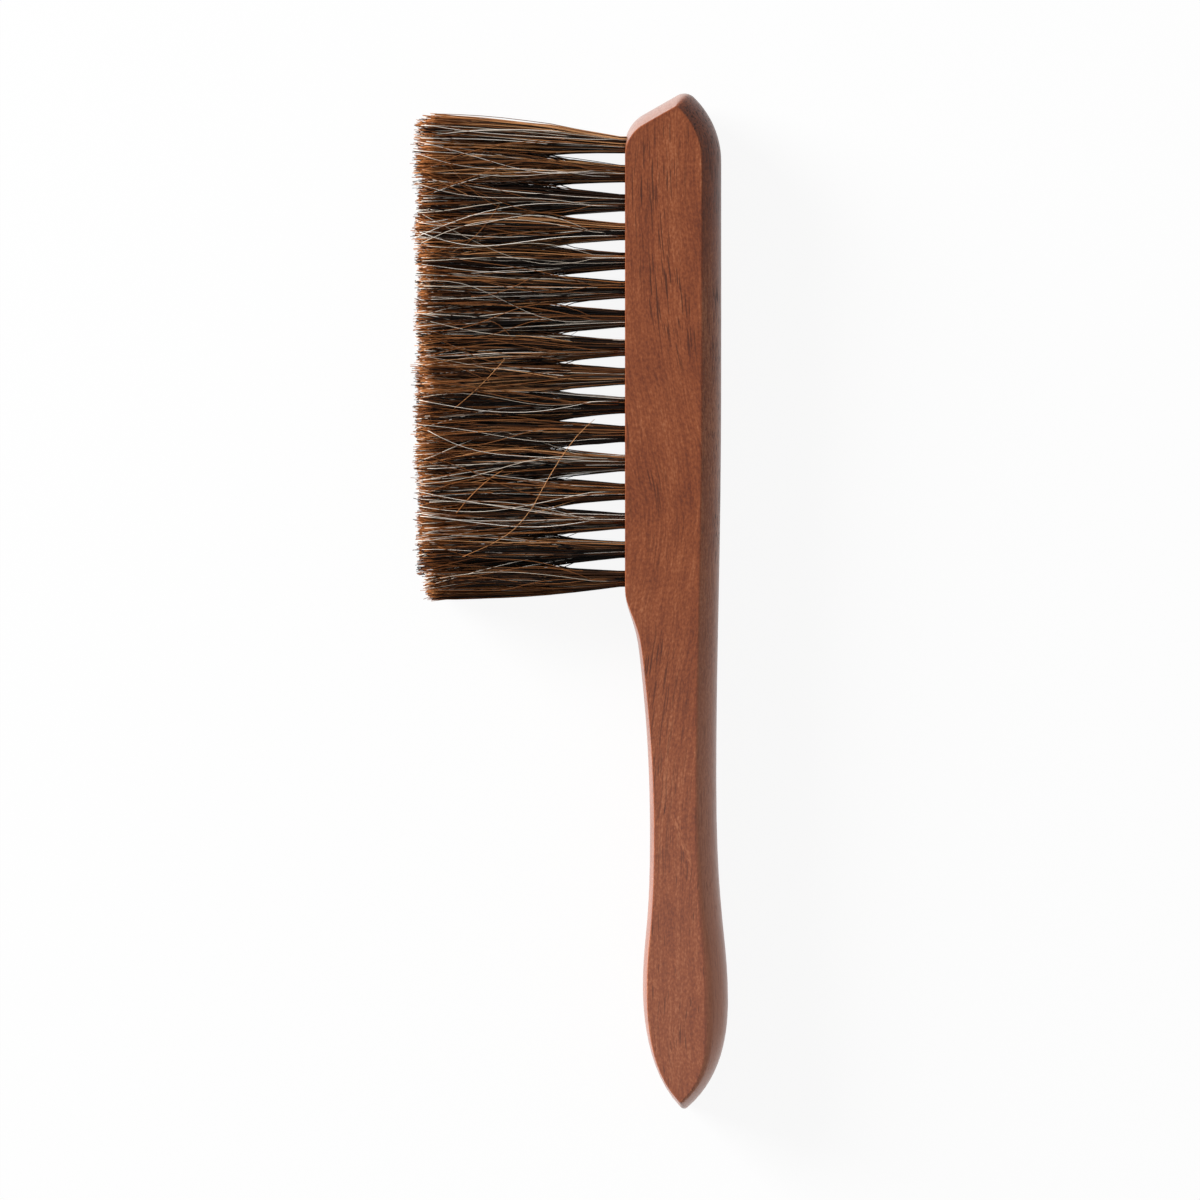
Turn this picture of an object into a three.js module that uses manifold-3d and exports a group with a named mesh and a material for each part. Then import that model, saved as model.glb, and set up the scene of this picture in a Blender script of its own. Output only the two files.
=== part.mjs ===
// Neck duster brush: a one-piece stained hardwood handle whose head is drilled with three rows of blind
// holes. Each hole holds a tuft of horsehair, doubled over a flat wire anchor near the bottom of the hole and
// trimmed level.
//
// Millimetres. The brush lies on one broad side: +Y runs from the point of the grip to the head, the hair
// points along -X, the crowned back faces +X, and +Z is up, across the thickness. The origin is under the
// middle of the brush, on the surface that it lies on.
import * as THREE from "three";
import { mergeVertices } from "three/addons/utils/BufferGeometryUtils.js";
import Module from "manifold-3d";

const wasm = await Module();
wasm.setup();

// ---------------------------------------------------------------- sizes

// Handle, seen from its broad side. FRONT and BACK are distances back from the plane of the drilled face, and
// UP is the distance from the point of the grip.
const THICKNESS = 24;
const GRIP_LENGTH = 153.6; // point of the grip to the shoulder under the drilled face
const HEAD_WIDTH = 28.5;

const RAMP_FRONT = 4.15; // foot of the ramp that the shoulder runs out on
const RAMP_LENGTH = 18;
const RAMP_LEAN = -0.118;

const WAIST_FRONT = 7.4;
const WAIST_FRONT_UP = 80;
const WAIST_BACK = 27.05;
const WAIST_BACK_UP = 97;
const HEAD_BACK_RUN = 68; // shoulder to where the back of the head starts to draw in

const BULGE_FRONT = 5.3;
const BULGE_FRONT_UP = 36;
const BULGE_BACK = 30.5;
const BULGE_BACK_UP = 32;

const POINT_BACK = 17.5; // how far back the point of the grip is
const POINT_RADIUS = 1.4;
const POINT_FRONT_ANGLE = THREE.MathUtils.degToRad(44); // of the flanks at the point, from the handle's axis
const POINT_BACK_ANGLE = THREE.MathUtils.degToRad(50);

// Head end: the top edge climbs from a rounded corner to a ridge near the back.
const TOP_SLOPE = THREE.MathUtils.degToRad(29.7);
const TOP_CORNER_RADIUS = 10.5;
const BACK_ARC_RADIUS = 26.5;
const BACK_ARC_DROP = 10.8; // start of the back arc below the sharp corner of the head
const RIDGE_RADIUS = 4;

// How far in the crown across the thickness brings each edge at the flat sides
const BACK_CROWN = 5.8;
const TOP_CROWN = 2.9;
const FRONT_CROWN = 1.15;
const RAMP_CROWN = 0.8;
const POINT_CROWN_UP = 1.6;
const POINT_CROWN_FORWARD = 1;
const RIDGE_RADIUS_AT_SIDE = 0.7;
const POINT_RADIUS_AT_SIDE = 0.8;

// Tufts
const ROWS = ["lower", "middle", "upper"];
const ROW_PITCH = 6.6;
const TUFTS_PER_ROW = 16;
const TUFT_PITCH = 8.55;
const SHOULDER_MARGIN = 3.3; // shoulder to the centre of the first hole
const CORNER_MARGIN = 6; // centre of the last hole to the sharp corner of the head
const HOLE_DIAMETER = 5;
const HOLE_DEPTH = 12;
const HAIR_LENGTH = 62.5; // hair standing out of the drilled face
const TRIM_SCATTER = 1.2; // how unevenly the tips are cut
const BUNDLE_LENGTH = 3; // how far the hair stays a tight bundle outside its hole
const FAN_LENGTH = 20; // distance from the face where neighbouring tufts meet
const HEAD_END_LEAN = 5.2; // how far the tips of the last tuft lean out past the head's end
const SHOULDER_END_LEAN = 1.6;
const LEANING_TUFTS = 4;
const HAIR_SIDE_MARGIN = 0.6; // between the hair's tips and the plane of each flat side

// Strands that stand for the hair of one tuft
const STRAND_SIDES = 3;
const STRAND_RADIUS = 0.6;
const STRAND_TIP_RADIUS = 0.36;
const MOUTH_GAP = 0.25; // between strands where they leave the bundle
const MEETING_SCATTER = 0.15; // of a strand's place where the tufts meet
const TIP_SCATTER = 0.35; // of a strand's place at its tip

// Flat wire anchor across the fold of each tuft, longer than the hole is wide, so that its ends bite the wood
const ANCHOR_BITE = 0.4;
const ANCHOR_THICKNESS = 0.5;
const ANCHOR_HEIGHT = 1.8;
const FOLD_HEIGHT = 1.4; // hair under the anchor, at the bottom of the hole

// Strip of the head's wood under the bottoms of one row of holes, which the roots of the row are fused to
const STRIP_THICKNESS = 2;
const STRIP_MARGIN = 0.1; // of the strip beside the roots

// Clearances
const TUFT_CLEARANCE = 0.15; // between a tuft and its hole
const ANCHOR_CLEARANCE = 0.15; // round an anchor, in its tuft and in the wood
const STRIP_CLEARANCE = 0.25;

// ---------------------------------------------------------------- outline of the handle

const at = (back, up) => new THREE.Vector2(back, up);

const HEAD_CORNER = GRIP_LENGTH + SHOULDER_MARGIN + (TUFTS_PER_ROW - 1) * TUFT_PITCH + CORNER_MARGIN;

const line = (from, to) => new THREE.LineCurve(from, to);

const arc = (centre, radius, from, to) => {
  return new THREE.ArcCurve(centre.x, centre.y, radius, from, to, to < from);
};

// A station of the outline: a point and its lean, which is how far the edge moves back per millimetre up.
const station = (back, up, lean = 0) => ({ point: at(back, up), lean });

// A smooth edge between two stations. It keeps the first one's lean as it leaves, and the second one's as it
// arrives, each for a share of the rise.
function flow(from, to, { leave, arrive }) {
  const rise = to.point.y - from.point.y;
  return new THREE.CubicBezierCurve(
    from.point,
    from.point.clone().add(at(from.lean, 1).multiplyScalar(rise * leave)),
    to.point.clone().sub(at(to.lean, 1).multiplyScalar(rise * arrive)),
    to.point,
  );
}

// The handle's outline, anticlockwise from the top of the drilled face, with every edge brought in by its
// crown. Each edge is cut into a set number of straight steps, so that two outlines match point for point.
function outline(crown) {
  const edges = [];
  const edge = (curve, steps) => edges.push({ curve, steps });

  // Head end: the ridge's centre is its radius in from the top edge and as far in from the back arc.
  const topNormal = at(-Math.sin(TOP_SLOPE), Math.cos(TOP_SLOPE));
  const topStart = at(0, HEAD_CORNER).addScaledVector(topNormal, -crown.top);
  const topAboveCorner = topStart.y + (TOP_CORNER_RADIUS - topStart.x) * Math.tan(TOP_SLOPE);
  const cornerUp = topAboveCorner - TOP_CORNER_RADIUS / Math.cos(TOP_SLOPE);
  const cornerCentre = at(TOP_CORNER_RADIUS, cornerUp);
  const backCentre = at(HEAD_WIDTH - BACK_ARC_RADIUS, HEAD_CORNER - BACK_ARC_DROP);
  const backRadius = BACK_ARC_RADIUS - crown.back;
  const inFromTop = topStart.clone().sub(backCentre).dot(topNormal) - crown.ridgeRadius;
  const alongTop = Math.sqrt((backRadius - crown.ridgeRadius) ** 2 - inFromTop ** 2);
  const ridgeCentre = backCentre
    .clone()
    .addScaledVector(topNormal, inFromTop)
    .addScaledVector(at(topNormal.y, -topNormal.x), alongTop);
  const ridgeFrom = ridgeCentre.clone().sub(backCentre).angle();
  const topAngle = topNormal.angle();

  // Stations down the front and up the back of the grip
  const shoulder = station(0, GRIP_LENGTH);
  const rampFoot = station(RAMP_FRONT + crown.ramp, GRIP_LENGTH - RAMP_LENGTH, RAMP_LEAN);
  const frontWaist = station(WAIST_FRONT + crown.front, WAIST_FRONT_UP);
  const frontBulge = station(BULGE_FRONT + crown.front, BULGE_FRONT_UP);
  const pointCentre = at(POINT_BACK - crown.pointForward, crown.pointUp + POINT_RADIUS);
  const pointFrom = Math.PI + POINT_FRONT_ANGLE;
  const pointTo = 2 * Math.PI - POINT_BACK_ANGLE;
  const onPoint = (angle, lean) => {
    const radial = at(Math.cos(angle), Math.sin(angle));
    const { x, y } = pointCentre.clone().addScaledVector(radial, crown.pointRadius);
    return station(x, y, lean);
  };
  const frontFlank = onPoint(pointFrom, -Math.tan(POINT_FRONT_ANGLE));
  const backFlank = onPoint(pointTo, Math.tan(POINT_BACK_ANGLE));
  const backBulge = station(BULGE_BACK - crown.back, BULGE_BACK_UP);
  const backWaist = station(WAIST_BACK - crown.back, WAIST_BACK_UP);
  const headBack = station(HEAD_WIDTH - crown.back, GRIP_LENGTH + HEAD_BACK_RUN);

  edge(line(at(0, cornerUp), shoulder.point), 1);
  edge(flow(shoulder, rampFoot, { leave: 0.3, arrive: 0.5 }), 9);
  edge(flow(rampFoot, frontWaist, { leave: 0.36, arrive: 0.36 }), 12);
  edge(flow(frontWaist, frontBulge, { leave: 0.62, arrive: 0.34 }), 10);
  edge(flow(frontBulge, frontFlank, { leave: 0.2, arrive: 0.3 }), 12);
  edge(arc(pointCentre, crown.pointRadius, pointFrom, pointTo), 6);
  edge(flow(backFlank, backBulge, { leave: 0.27, arrive: 0.32 }), 14);
  edge(flow(backBulge, backWaist, { leave: 0.3, arrive: 0.62 }), 10);
  edge(flow(backWaist, headBack, { leave: 0.35, arrive: 0.5 }), 12);
  edge(line(headBack.point, at(backCentre.x + backRadius, backCentre.y)), 1);
  edge(arc(backCentre, backRadius, 0, ridgeFrom), 14);
  edge(arc(ridgeCentre, crown.ridgeRadius, ridgeFrom, topAngle), 6);
  const topBack = ridgeCentre.clone().addScaledVector(topNormal, crown.ridgeRadius);
  const topFront = cornerCentre.clone().addScaledVector(topNormal, TOP_CORNER_RADIUS);
  edge(line(topBack, topFront), 1);
  edge(arc(cornerCentre, TOP_CORNER_RADIUS, topAngle, Math.PI), 10);

  return edges.flatMap(({ curve, steps }) => {
    return Array.from({ length: steps }, (_, i) => curve.getPoint(i / steps));
  });
}

const silhouette = outline({
  top: 0,
  back: 0,
  front: 0,
  ramp: 0,
  pointUp: 0,
  pointForward: 0,
  pointRadius: POINT_RADIUS,
  ridgeRadius: RIDGE_RADIUS,
});
const flatSide = outline({
  top: TOP_CROWN,
  back: BACK_CROWN,
  front: FRONT_CROWN,
  ramp: RAMP_CROWN,
  pointUp: POINT_CROWN_UP,
  pointForward: POINT_CROWN_FORWARD,
  pointRadius: POINT_RADIUS_AT_SIDE,
  ridgeRadius: RIDGE_RADIUS_AT_SIDE,
});

// ---------------------------------------------------------------- solids

// The middle of the brush, hair included, is over the origin.
const FACE_X = (HAIR_LENGTH + TRIM_SCATTER - Math.max(...silhouette.map((p) => p.x))) / 2;
const POINT_Y = -Math.max(...silhouette.map((p) => p.y)) / 2;
const place = (back, up, z) => new THREE.Vector3(FACE_X + back, POINT_Y + up, z);

function solidOf(geometry) {
  const bare = geometry.clone();
  bare.deleteAttribute("normal");
  bare.deleteAttribute("uv");
  const merged = mergeVertices(bare, 1e-4);
  return new wasm.Manifold(
    new wasm.Mesh({
      numProp: 3,
      vertProperties: merged.attributes.position.array,
      triVerts: new Uint32Array(merged.index.array),
    }),
  );
}

function geometryOf(solid) {
  const mesh = solid.getMesh();
  const geometry = new THREE.BufferGeometry();
  geometry.setAttribute("position", new THREE.BufferAttribute(new Float32Array(mesh.vertProperties), 3));
  geometry.setIndex(new THREE.BufferAttribute(new Uint32Array(mesh.triVerts), 1));
  const flat = geometry.toNonIndexed();
  flat.computeVertexNormals();
  return flat;
}

// A closed surface built ring by ring. A wall joins two rings of the same count, and faces out where both
// rings turn anticlockwise about the way from the first to the second.
class Skin {
  positions = [];
  index = [];

  ring(points) {
    const first = this.positions.length / 3;
    for (const p of points) this.positions.push(p.x, p.y, p.z);
    return points.map((_, i) => first + i);
  }

  wall(from, to) {
    from.forEach((a, i) => {
      const next = (i + 1) % from.length;
      this.index.push(a, from[next], to[next], a, to[next], to[i]);
    });
  }

  cap(rim, triangles) {
    for (const [a, b, c] of triangles) this.index.push(rim[a], rim[b], rim[c]);
  }

  solid() {
    const geometry = new THREE.BufferGeometry();
    geometry.setAttribute("position", new THREE.Float32BufferAttribute(this.positions, 3));
    geometry.setIndex(this.index);
    return solidOf(geometry);
  }
}

const turnedOver = (triangles) => triangles.map(([a, b, c]) => [a, c, b]);

// The share of a crown's height that it has come in by at depth u, from 0 on the middle plane to 1 at a flat
// side. The crown is one arc over the whole thickness.
function crownShare(height, u) {
  if (height === 0) return 0;
  const radius = ((THICKNESS / 2) ** 2 + height ** 2) / (2 * height);
  return (radius - Math.sqrt(radius ** 2 - ((u * THICKNESS) / 2) ** 2)) / height;
}

const CROWN_BANDS = 16;

function crownedBlank() {
  const skin = new Skin();
  const rings = Array.from({ length: CROWN_BANDS + 1 }, (_, level) => {
    const u = (2 * level) / CROWN_BANDS - 1;
    const points = silhouette.map((outer, i) => {
      const point = outer.clone().lerp(flatSide[i], crownShare(outer.distanceTo(flatSide[i]), u));
      return place(point.x, point.y, (THICKNESS / 2) * (1 + u));
    });
    return skin.ring(points);
  });
  rings.slice(1).forEach((ring, level) => skin.wall(rings[level], ring));
  const sideTriangles = THREE.ShapeUtils.triangulateShape(flatSide, []);
  skin.cap(rings[0], turnedOver(sideTriangles));
  skin.cap(rings[CROWN_BANDS], sideTriangles);
  return skin.solid();
}

// A box from its lowest to its highest corner, each given as back, up and z.
function block(low, high) {
  const a = place(...low);
  const size = place(...high).sub(a);
  const geometry = new THREE.BoxGeometry(size.x, size.y, size.z);
  geometry.translate(a.x + size.x / 2, a.y + size.y / 2, a.z + size.z / 2);
  return geometry;
}

const tuftUp = (tuft) => GRIP_LENGTH + SHOULDER_MARGIN + tuft * TUFT_PITCH;
const rowZ = (row) => THICKNESS / 2 + (row - (ROWS.length - 1) / 2) * ROW_PITCH;
const BUNDLE_RADIUS = HOLE_DIAMETER / 2 - TUFT_CLEARANCE;
const HOLE_SIDES = 12;

const HOLE_MOUTH = 1; // how far the drill's cut starts outside the face

// A round hole down to its flat bottom, with a flat turned to each end of the brush
function hole(tuft, row) {
  const length = HOLE_DEPTH + HOLE_MOUTH;
  const geometry = new THREE.CylinderGeometry(HOLE_DIAMETER / 2, HOLE_DIAMETER / 2, length, HOLE_SIDES);
  geometry.rotateY(Math.PI / HOLE_SIDES);
  geometry.rotateZ(Math.PI / 2);
  const centre = place(HOLE_DEPTH - length / 2, tuftUp(tuft), rowZ(row));
  return geometry.translate(centre.x, centre.y, centre.z);
}

// The strip under one row of holes, or with a clearance the groove for it in the head
function strip(row, clearance) {
  const half = BUNDLE_RADIUS + STRIP_MARGIN + clearance;
  return block(
    [HOLE_DEPTH - clearance, tuftUp(0) - half, rowZ(row) - half],
    [HOLE_DEPTH + STRIP_THICKNESS + clearance, tuftUp(TUFTS_PER_ROW - 1) + half, rowZ(row) + half],
  );
}

// The anchor of one tuft, or with a clearance the slot for it
function anchor(tuft, row, clearance) {
  const bottom = HOLE_DEPTH - FOLD_HEIGHT;
  const halfLength = HOLE_DIAMETER / 2 + ANCHOR_BITE + clearance;
  const halfThickness = ANCHOR_THICKNESS / 2 + clearance;
  return block(
    [bottom - ANCHOR_HEIGHT - clearance, tuftUp(tuft) - halfLength, rowZ(row) - halfThickness],
    [bottom + clearance, tuftUp(tuft) + halfLength, rowZ(row) + halfThickness],
  );
}

function eachTuft(visit) {
  ROWS.forEach((rowName, row) => {
    for (let tuft = 0; tuft < TUFTS_PER_ROW; tuft++) visit(tuft, row, rowName);
  });
}

function drilledHandle() {
  const cuts = ROWS.map((_, row) => solidOf(strip(row, STRIP_CLEARANCE)));
  eachTuft((tuft, row) => {
    cuts.push(solidOf(hole(tuft, row)));
    cuts.push(solidOf(anchor(tuft, row, ANCHOR_CLEARANCE)));
  });
  return crownedBlank().subtract(wasm.Manifold.union(cuts));
}

// ---------------------------------------------------------------- hair

// Repeatable scatter between -1 and 1, by the sine hash
function scatter(...seeds) {
  const wave = Math.sin(seeds.reduce((sum, seed, i) => sum + seed * (127.1 + 92.3 * i), 0)) * 43758.5453;
  return 2 * (wave - Math.floor(wave)) - 1;
}

// The hair's own directions: x across the rows, and y along them from the grip to the head
const spot = (across, along) => new THREE.Vector2(across, along);

function circleOf(sides, radius, centre, turn) {
  return Array.from({ length: sides }, (_, i) => {
    const angle = turn + (i * 2 * Math.PI) / sides;
    return spot(centre.x + radius * Math.cos(angle), centre.y + radius * Math.sin(angle));
  });
}

// Seven strands leave the mouth of a bundle: one in the middle, and a ring of six that just fits inside the
// rim.
const BUNDLE_SIDES = 8;
const bundleRim = circleOf(BUNDLE_SIDES, BUNDLE_RADIUS, spot(0, 0), Math.PI / BUNDLE_SIDES);
const rimInnerRadius = BUNDLE_RADIUS * Math.cos(Math.PI / BUNDLE_SIDES);
const mouthStrandRadius = (rimInnerRadius - 1.5 * MOUTH_GAP) / 3;
const mouthSpots = [spot(0, 0), ...circleOf(6, 2 * mouthStrandRadius + MOUTH_GAP, spot(0, 0), 0)];

// They spread evenly over their share of the field: three in the middle file, and two in the file at each
// side.
const spreadSpots = [
  spot(0, 0),
  spot(ROW_PITCH / 3, 0),
  spot(ROW_PITCH / 4, TUFT_PITCH / 3),
  spot(-ROW_PITCH / 4, TUFT_PITCH / 3),
  spot(-ROW_PITCH / 3, 0),
  spot(-ROW_PITCH / 4, -TUFT_PITCH / 3),
  spot(ROW_PITCH / 4, -TUFT_PITCH / 3),
];

// How far the tips of a tuft lean: outwards at the two ends of the rows, where no neighbour holds them, and
// in the outer rows as far as the margin at the flat sides lets them
function tipLean(tuft, row) {
  const fromMiddle = rowZ(row) - THICKNESS / 2;
  const outermost = Math.abs(fromMiddle) + ROW_PITCH / 3 + TIP_SCATTER + STRAND_TIP_RADIUS;
  const fromShoulder = Math.max(0, 1 - tuft / LEANING_TUFTS);
  const fromHead = Math.max(0, 1 - (TUFTS_PER_ROW - 1 - tuft) / LEANING_TUFTS);
  return spot(
    Math.sign(fromMiddle) * (THICKNESS / 2 - HAIR_SIDE_MARGIN - outermost),
    HEAD_END_LEAN * fromHead ** 2 - SHOULDER_END_LEAN * fromShoulder ** 2,
  );
}

// One tuft: a packed round bundle from inside the strip to a little outside the hole, and the strands that
// leave its mouth. A strand runs through three triangles: at the mouth, where the tufts meet, and at its cut
// tip.
function tuftSolid(tuft, row) {
  const skin = new Skin();
  const ringAt = (out, spots) => {
    return skin.ring(spots.map(({ x, y }) => place(-out, tuftUp(tuft) + y, rowZ(row) + x)));
  };
  const root = ringAt(-HOLE_DEPTH - STRIP_THICKNESS / 2, bundleRim);
  const mouth = ringAt(BUNDLE_LENGTH, bundleRim);
  skin.wall(root, mouth);
  skin.cap(root, turnedOver(THREE.ShapeUtils.triangulateShape(bundleRim, [])));

  const lean = tipLean(tuft, row);
  const strandRoots = [];
  mouthSpots.forEach((mouthSpot, number) => {
    const chance = (use) => scatter(tuft, row, number, use);
    const turn = Math.PI * chance(1);
    const atMouth = circleOf(STRAND_SIDES, mouthStrandRadius, mouthSpot, turn);
    const meeting = spreadSpots[number]
      .clone()
      .add(spot(chance(2), chance(3)).multiplyScalar(MEETING_SCATTER))
      .addScaledVector(lean, FAN_LENGTH / HAIR_LENGTH);
    const tip = spreadSpots[number]
      .clone()
      .add(spot(chance(4), chance(5)).multiplyScalar(TIP_SCATTER))
      .add(lean);
    const rings = [
      ringAt(BUNDLE_LENGTH, atMouth),
      ringAt(FAN_LENGTH, circleOf(STRAND_SIDES, STRAND_RADIUS, meeting, turn)),
      ringAt(HAIR_LENGTH + TRIM_SCATTER * chance(6), circleOf(STRAND_SIDES, STRAND_TIP_RADIUS, tip, turn)),
    ];
    skin.wall(rings[0], rings[1]);
    skin.wall(rings[1], rings[2]);
    skin.cap(rings[2], [[0, 1, 2]]);
    strandRoots.push({ outline: atMouth, ring: rings[0] });
  });

  // The mouth is closed between the strands.
  const openings = strandRoots.map((strandRoot) => strandRoot.outline);
  const mouthTriangles = THREE.ShapeUtils.triangulateShape(bundleRim, openings);
  skin.cap([...mouth, ...strandRoots.flatMap((strandRoot) => strandRoot.ring)], mouthTriangles);
  return skin.solid();
}

// One row of hair: its tufts, fused to the strip under their holes and slotted for their anchors
function bristleRow(row) {
  const solids = [solidOf(strip(row, 0))];
  const slots = [];
  for (let tuft = 0; tuft < TUFTS_PER_ROW; tuft++) {
    solids.push(tuftSolid(tuft, row));
    slots.push(solidOf(anchor(tuft, row, ANCHOR_CLEARANCE)));
  }
  return wasm.Manifold.union(solids).subtract(wasm.Manifold.union(slots));
}

// ---------------------------------------------------------------- assembly

const stainedWood = new THREE.MeshStandardMaterial({ color: 0x8c523a, roughness: 0.48, metalness: 0 });
const horsehair = new THREE.MeshStandardMaterial({ color: 0x4a3020, roughness: 0.6, metalness: 0 });
const anchorWire = new THREE.MeshStandardMaterial({ color: 0xa3a3a0, roughness: 0.35, metalness: 1 });

const brush = new THREE.Group();

function addPiece(name, geometry, material) {
  const mesh = new THREE.Mesh(geometry, material);
  mesh.name = name;
  brush.add(mesh);
}

addPiece("handle", geometryOf(drilledHandle()), stainedWood);
ROWS.forEach((rowName, row) => {
  addPiece(`bristle_row_${rowName}`, geometryOf(bristleRow(row)), horsehair);
});
eachTuft((tuft, row, rowName) => {
  const number = String(tuft + 1).padStart(2, "0");
  addPiece(`anchor_${rowName}_${number}`, anchor(tuft, row, 0), anchorWire);
});

export default brush;
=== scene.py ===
# A neck duster brush, of the kind a barber sweeps cut hair away with: a long stained hardwood handle, and
# three rows of horsehair tufts set in its head. It lies on one broad side, with the hair pointing along
# -X, the grip's point towards -Y and the thickness along Z. Everything is in metres, in the frame of the
# CAD part.
import math

import bpy
import numpy as np
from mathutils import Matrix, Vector


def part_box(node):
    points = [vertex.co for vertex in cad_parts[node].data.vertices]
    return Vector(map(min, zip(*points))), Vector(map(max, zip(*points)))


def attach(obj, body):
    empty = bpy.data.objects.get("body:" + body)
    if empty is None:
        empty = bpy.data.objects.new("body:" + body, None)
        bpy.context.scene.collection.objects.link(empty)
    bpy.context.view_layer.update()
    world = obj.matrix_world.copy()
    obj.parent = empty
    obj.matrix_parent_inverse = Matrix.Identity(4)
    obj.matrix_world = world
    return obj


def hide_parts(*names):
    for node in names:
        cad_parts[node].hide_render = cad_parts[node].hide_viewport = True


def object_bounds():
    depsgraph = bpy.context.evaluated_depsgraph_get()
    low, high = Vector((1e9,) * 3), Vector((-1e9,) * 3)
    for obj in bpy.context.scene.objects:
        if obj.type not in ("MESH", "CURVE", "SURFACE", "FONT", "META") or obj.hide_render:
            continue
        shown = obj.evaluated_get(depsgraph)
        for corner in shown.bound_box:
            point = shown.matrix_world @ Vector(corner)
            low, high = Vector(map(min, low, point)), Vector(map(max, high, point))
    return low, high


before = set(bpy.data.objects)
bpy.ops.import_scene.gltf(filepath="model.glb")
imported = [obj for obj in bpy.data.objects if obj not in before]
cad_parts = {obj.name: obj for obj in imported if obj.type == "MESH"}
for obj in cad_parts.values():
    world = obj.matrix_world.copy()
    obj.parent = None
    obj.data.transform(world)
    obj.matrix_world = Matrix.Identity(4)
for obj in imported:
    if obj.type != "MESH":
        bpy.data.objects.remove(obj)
cad_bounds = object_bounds()

# ---------------------------------------------------------------- handle
# The handle is one length of straight-grained hardwood, shaped, drilled and sanded, then stained red-brown
# and given a thin satin lacquer. Sanding has eased the edges of its flat sides, hardly at all along the head
# and the front of the grip, and into a soft roll at the back of the grip, where the palm holds it.

MM = 0.001
HANDLE_LOW, HANDLE_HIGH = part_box("handle")
FRONT_EASE = 0.3 * MM
# Up from the point of the grip, and how far the back edge is eased there
BACK_EASE_UP = np.array([0, 3.2, 7, 11, 20, 34, 50, 68, 90, 120, 300]) * MM
BACK_EASE = np.array([0.3, 0.3, 0.9, 1.3, 1.5, 1.75, 1.6, 0.9, 0.5, 0.35, 0.3]) * MM
EASE_STEPS = 4
GUIDE_RING = 0.1 * MM
MERGE_ANGLES = (2, 12)  # degrees between two triangles that become one face, the flattest pairs first
FLAT_ANGLE = math.radians(0.5)
SMOOTH_ANGLE = math.radians(32)
SAME_POINT = 0.002 * MM
SAME_PLANE = 0.005 * MM
SQUARE_ON = 0.9999  # a face looks straight along an axis when its normal reaches this far along it


def pick_up(piece):
    """Makes a piece the only selected object, and the active one."""
    bpy.ops.object.select_all(action="DESELECT")
    piece.select_set(True)
    bpy.context.view_layer.objects.active = piece


def in_flat_side(face):
    off_plane = min(abs(face.center.z - HANDLE_LOW.z), abs(face.center.z - HANDLE_HIGH.z))
    return abs(face.normal.z) > SQUARE_ON and off_plane < SAME_PLANE


def in_drilled_face(face):
    return face.normal.x < -SQUARE_ON and abs(face.center.x - HANDLE_LOW.x) < SAME_PLANE


def select_faces(mesh, wanted):
    """Goes into edit mode with the wanted faces of the active mesh selected, and nothing else."""
    bpy.ops.object.mode_set(mode="EDIT")
    bpy.ops.mesh.select_all(action="DESELECT")
    bpy.ops.object.mode_set(mode="OBJECT")
    for face in mesh.polygons:
        face.select = wanted(face)
    bpy.ops.object.mode_set(mode="EDIT")


handle = bpy.data.objects.new("handle_wood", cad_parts["handle"].data.copy())
bpy.context.scene.collection.objects.link(handle)
pick_up(handle)
bpy.ops.mesh.customdata_custom_splitnormals_clear()
bpy.ops.object.mode_set(mode="EDIT")
bpy.ops.mesh.select_all(action="SELECT")
bpy.ops.mesh.remove_doubles(threshold=SAME_POINT)
for angle in MERGE_ANGLES:
    bpy.ops.mesh.tris_convert_to_quads(face_threshold=math.radians(angle), shape_threshold=math.pi)
select_faces(handle.data, lambda face: in_flat_side(face) or in_drilled_face(face))
bpy.ops.mesh.dissolve_limited(angle_limit=FLAT_ANGLE)

# A narrow ring inside the border of each flat side gives every corner an edge for the easing to slide
# along.
select_faces(handle.data, in_flat_side)
bpy.ops.mesh.inset(thickness=GUIDE_RING)
bpy.ops.object.mode_set(mode="OBJECT")

# The border of a flat side is the edges that only one of its faces has.
flat_sides_at = {}
for face in filter(in_flat_side, handle.data.polygons):
    for key in face.edge_keys:
        flat_sides_at[key] = flat_sides_at.get(key, 0) + 1
handle_middle = (HANDLE_LOW.x + HANDLE_HIGH.x) / 2
ease = handle.data.attributes.new("bevel_weight_edge", "FLOAT", "EDGE")
for edge in handle.data.edges:
    if flat_sides_at.get(edge.key) == 1:
        start, end = (handle.data.vertices[i].co for i in edge.vertices)
        middle = (start + end) / 2
        if middle.x > handle_middle:
            width = np.interp(middle.y - HANDLE_LOW.y, BACK_EASE_UP, BACK_EASE)
        else:
            width = FRONT_EASE
        ease.data[edge.index].value = width / max(BACK_EASE)

sanding = handle.modifiers.new("sanding", "BEVEL")
sanding.limit_method = "WEIGHT"
sanding.width = max(BACK_EASE)
sanding.segments = EASE_STEPS
sanding.use_clamp_overlap = False
bpy.ops.object.modifier_apply(modifier=sanding.name)
select_faces(handle.data, in_flat_side)
bpy.ops.mesh.dissolve_faces()
bpy.ops.object.mode_set(mode="OBJECT")
bpy.ops.object.shade_smooth_by_angle(angle=SMOOTH_ANGLE)
flats = handle.modifiers.new("flats", "WEIGHTED_NORMAL")
flats.keep_sharp = True
bpy.ops.object.modifier_apply(modifier=flats.name)


def colour(red, green, blue):
    """A colour as it looks on screen, from 0 to 255, as the linear one that a shader takes."""
    channels = [c / 255 for c in (red, green, blue)]
    linear = [c / 12.92 if c <= 0.04045 else ((c + 0.055) / 1.055) ** 2.4 for c in channels]
    return (*linear, 1)


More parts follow.
